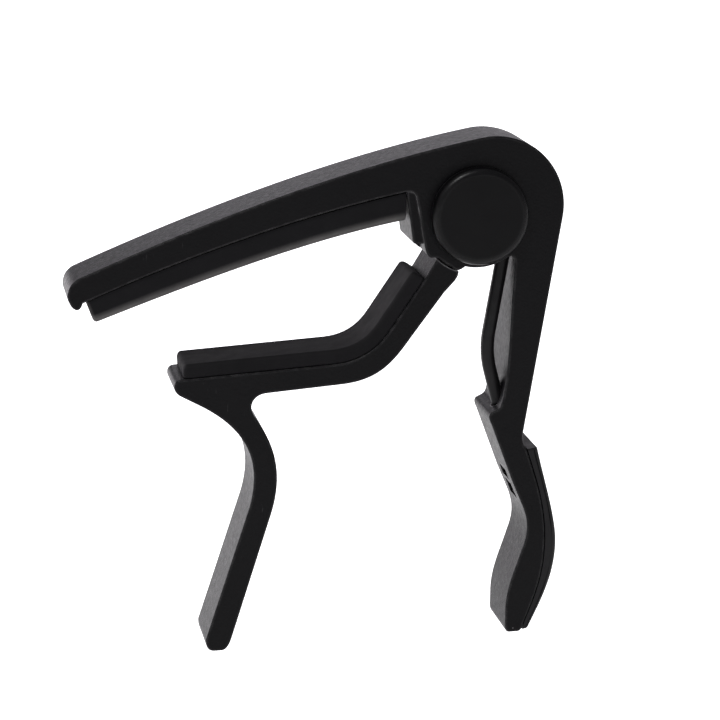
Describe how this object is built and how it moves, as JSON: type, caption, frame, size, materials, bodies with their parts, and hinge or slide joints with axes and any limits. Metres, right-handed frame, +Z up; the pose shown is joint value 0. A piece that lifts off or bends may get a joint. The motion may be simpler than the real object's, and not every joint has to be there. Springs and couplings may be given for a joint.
{
  "type": "guitar capo",
  "caption": "Trigger-style guitar capo with a curved string arm, a sprung J-shaped cradle jaw on a pivot, rubber pads and a squeeze handle.",
  "frame": {"origin": "centre of the bounding box in X and Y, on the plane that the two handle ends stand on", "axes": "+Z up with the capo standing on its handle ends, +X from the arm's tip towards the trigger handle, +Y along the pivot axis, away from the front face"},
  "size_m": [0.09, 0.0176, 0.0942],
  "materials": {
    "powder_coat": "satin black powder coat on cast aluminium",
    "pad_rubber": "matte black silicone rubber",
    "grip_rubber": "matte black soft grip",
    "cap_plastic": "smooth satin black plastic",
    "spring_steel": "black oxide spring wire",
    "zinc_steel": "zinc plated",
    "bearing_plastic": "natural nylon"
  },
  "bodies": {
    "frame": {"frame_casting": "powder_coat", "string_pad": "pad_rubber", "handle_grip": "grip_rubber", "torsion_spring": "spring_steel", "pivot_pin": "zinc_steel", "front_washer": "zinc_steel", "rear_washer": "zinc_steel", "front_cap": "cap_plastic", "rear_cap": "cap_plastic"},
    "jaw": {"jaw_lever_casting": "powder_coat", "cradle_pad": "pad_rubber", "pivot_bush": "bearing_plastic"}
  },
  "joints": [
    {"name": "jaw_pivot", "type": "hinge", "parent": "frame", "child": "jaw", "pos_m": [0.02905, 0, 0.08], "axis": [0, -1, 0], "range_deg": [0, 25], "stiffness_Nm_per_rad": 0.8, "springref_deg": -45.84, "deforming": ["torsion_spring"]}
  ]
}
